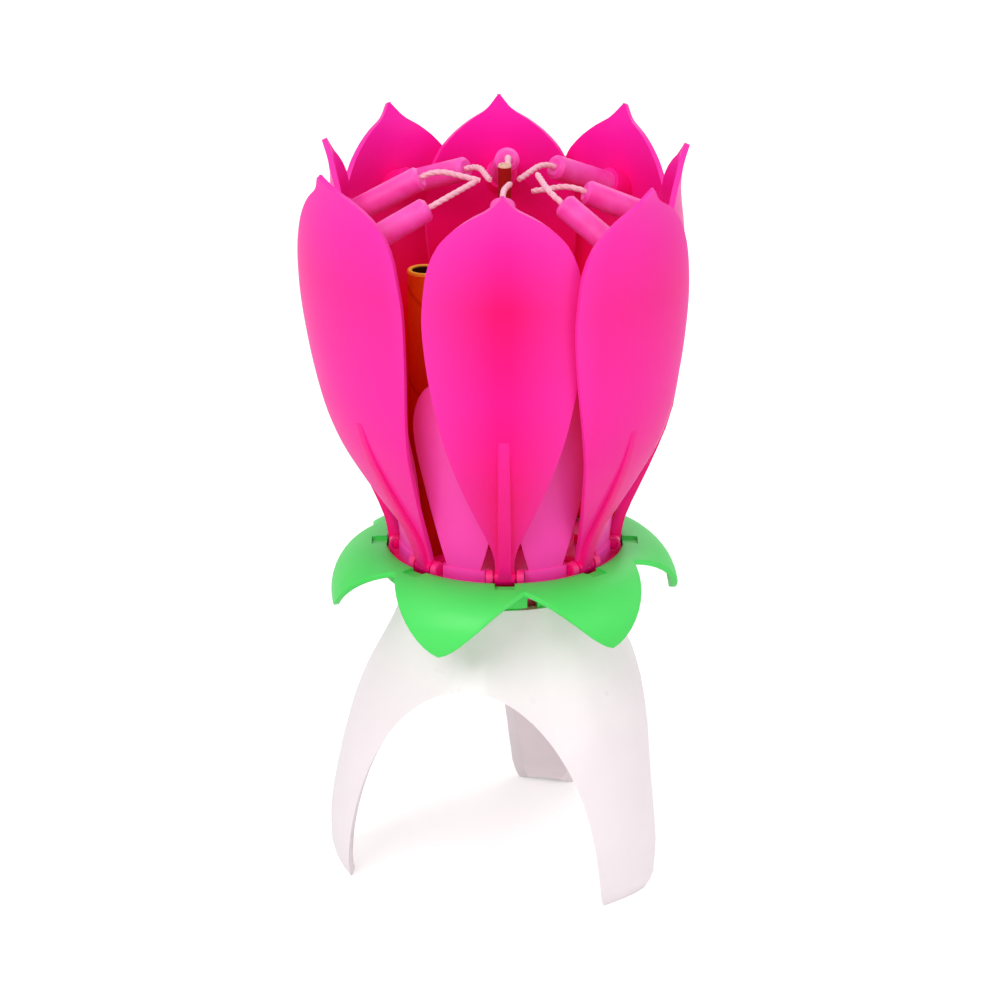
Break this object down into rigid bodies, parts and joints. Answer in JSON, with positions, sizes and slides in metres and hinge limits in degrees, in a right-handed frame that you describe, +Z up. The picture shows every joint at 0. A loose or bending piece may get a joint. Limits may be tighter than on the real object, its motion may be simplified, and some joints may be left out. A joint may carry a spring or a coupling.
{
  "type": "musical birthday candle",
  "caption": "Lotus flower birthday candle on a legged bell stand: hinged petals carry small candles round a central fuse and a spark tube, over a music housing.",
  "frame": {"origin": "on the flower's upright axis, in the plane of the stand's feet", "axes": "+Z up along the flower's axis; -Y is the front that the picture shows; +X to the right seen from the front"},
  "size_m": [0.0562, 0.0561, 0.1106],
  "materials": {
    "stand_plastic": "pearl white, glossy",
    "green_plastic": "bright green, glossy",
    "hub_plastic": "bright pink, satin",
    "petal_plastic": "bright pink, glossy",
    "inner_petal_plastic": "bright pink, glossy",
    "candle_wax": "pink wax, waxy sheen",
    "wick_cotton": "pale pink waxed cotton",
    "fuse_paper": "dark red, matt",
    "tube_paper": "orange red, matt",
    "charge_powder": "dark, granular",
    "housing_plastic": "white, satin",
    "brass": "plain",
    "ceramic": "white ceramic, matt",
    "board": "green laminate",
    "resin": "black resin",
    "steel": "plain",
    "wire_cover": "red wire cover"
  },
  "bodies": {
    "stand": {"stand": "stand_plastic"},
    "flower": {"calyx": "green_plastic", "petal_hub": "hub_plastic", "inner_petals": "inner_petal_plastic", "fuse_post": "hub_plastic", "fuse": "fuse_paper", "spark_tube": "tube_paper", "spark_charge": "charge_powder", "housing_shell": "housing_plastic", "housing_base": "housing_plastic", "sounder_plate": "brass", "sounder_ceramic": "ceramic", "circuit_board": "board", "music_chip": "resin", "cell_lower": "steel", "cell_upper": "steel", "cell_clip": "brass", "sounder_wires": "wire_cover", "pin_spring": "steel", "contact_leaf": "brass", "hub_screws": "steel"},
    "petal_1": {"petal_1": "petal_plastic", "candle_1": "candle_wax", "wick_1": "wick_cotton"},
    "petal_2": {"petal_2": "petal_plastic", "candle_2": "candle_wax", "wick_2": "wick_cotton"},
    "petal_3": {"petal_3": "petal_plastic", "candle_3": "candle_wax", "wick_3": "wick_cotton"},
    "petal_4": {"petal_4": "petal_plastic", "candle_4": "candle_wax", "wick_4": "wick_cotton"},
    "petal_5": {"petal_5": "petal_plastic", "candle_5": "candle_wax", "wick_5": "wick_cotton"},
    "petal_6": {"petal_6": "petal_plastic", "candle_6": "candle_wax", "wick_6": "wick_cotton"},
    "petal_7": {"petal_7": "petal_plastic", "candle_7": "candle_wax", "wick_7": "wick_cotton"},
    "petal_8": {"petal_8": "petal_plastic", "candle_8": "candle_wax", "wick_8": "wick_cotton"},
    "start_pin": {"start_pin": "housing_plastic"}
  },
  "joints": [
    {"name": "flower_lift", "type": "slide", "parent": "stand", "child": "flower", "axis": [0, 0, 1], "range_m": [0, 0.012]},
    {"name": "petal_hinge_6", "type": "hinge", "parent": "flower", "child": "petal_6", "pos_m": [0, -0.0159, 0.0502], "axis": [1, 0, 0], "range_deg": [0, 60]},
    {"name": "petal_hinge_5", "type": "hinge", "parent": "flower", "child": "petal_5", "pos_m": [0.01124, -0.01124, 0.0502], "axis": [0.7071, 0.7071, 0], "range_deg": [0, 60]},
    {"name": "petal_hinge_4", "type": "hinge", "parent": "flower", "child": "petal_4", "pos_m": [0.0159, 0, 0.0502], "axis": [0, 1, 0], "range_deg": [0, 60]},
    {"name": "petal_hinge_3", "type": "hinge", "parent": "flower", "child": "petal_3", "pos_m": [0.01124, 0.01124, 0.0502], "axis": [-0.7071, 0.7071, 0], "range_deg": [0, 60]},
    {"name": "petal_hinge_2", "type": "hinge", "parent": "flower", "child": "petal_2", "pos_m": [0, 0.0159, 0.0502], "axis": [-1, 0, 0], "range_deg": [0, 60]},
    {"name": "petal_hinge_1", "type": "hinge", "parent": "flower", "child": "petal_1", "pos_m": [-0.01124, 0.01124, 0.0502], "axis": [-0.7071, -0.7071, 0], "range_deg": [0, 60]},
    {"name": "petal_hinge_8", "type": "hinge", "parent": "flower", "child": "petal_8", "pos_m": [-0.0159, 0, 0.0502], "axis": [0, -1, 0], "range_deg": [0, 60]},
    {"name": "petal_hinge_7", "type": "hinge", "parent": "flower", "child": "petal_7", "pos_m": [-0.01124, -0.01124, 0.0502], "axis": [0.7071, -0.7071, 0], "range_deg": [0, 60]},
    {"name": "start_pin_slide", "type": "slide", "parent": "flower", "child": "start_pin", "axis": [0, 0, 1], "range_m": [0, 0.0013], "deforming": ["pin_spring"]}
  ],
  "couplings": [
    {"joint": "petal_hinge_5", "follows": "petal_hinge_6", "ratio": 1},
    {"joint": "petal_hinge_4", "follows": "petal_hinge_6", "ratio": 1},
    {"joint": "petal_hinge_3", "follows": "petal_hinge_6", "ratio": 1},
    {"joint": "petal_hinge_2", "follows": "petal_hinge_6", "ratio": 1},
    {"joint": "petal_hinge_1", "follows": "petal_hinge_6", "ratio": 1},
    {"joint": "petal_hinge_8", "follows": "petal_hinge_6", "ratio": 1},
    {"joint": "petal_hinge_7", "follows": "petal_hinge_6", "ratio": 1},
    {"joint": "start_pin_slide", "follows": "petal_hinge_6", "m_per_rad": 0.00124}
  ]
}
